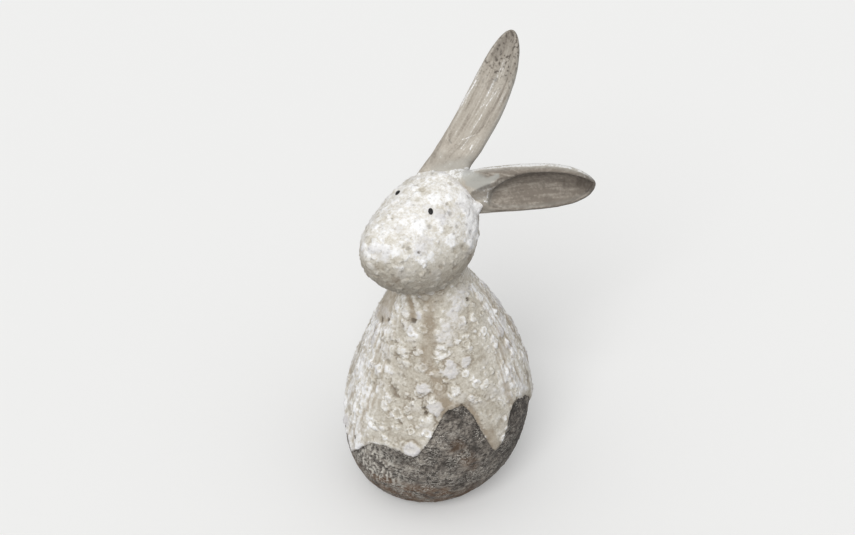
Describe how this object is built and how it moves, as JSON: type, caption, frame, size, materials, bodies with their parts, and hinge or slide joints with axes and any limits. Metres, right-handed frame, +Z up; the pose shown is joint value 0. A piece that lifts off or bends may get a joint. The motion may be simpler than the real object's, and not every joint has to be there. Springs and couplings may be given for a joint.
{
  "type": "rabbit figurine",
  "caption": "Hand-built stoneware rabbit ornament with an egg-shaped body and head, dished ears, one upright and one sideways, and a pale crater-glazed coat over a bare foot.",
  "frame": {"origin": "centre of the underside of the felt foot pad, on the surface the rabbit stands on", "axes": "+Z up, the rabbit's face towards -Y, the rabbit's own left side towards +X"},
  "size_m": [0.0974, 0.0837, 0.1958],
  "materials": {
    "felt": "matt wool felt",
    "clay": "bare rough stoneware with pale worm-like flecks",
    "slip": "smoothed matt slip",
    "ear_clay": "bare stoneware brushed lengthwise with thin white wash",
    "eye_black": "black, nearly matt",
    "crater_glaze": "thick chalky off-white crater glaze, matt and pitted"
  },
  "bodies": {
    "root": {"base_pad": "felt", "body_shell": "clay", "neck_seam": "slip", "head_shell": "clay", "front_web": "slip", "back_web": "slip", "right_ear": "ear_clay", "left_ear": "ear_clay", "right_eye": "eye_black", "left_eye": "eye_black", "glaze_coat": "crater_glaze"}
  },
  "joints": []
}
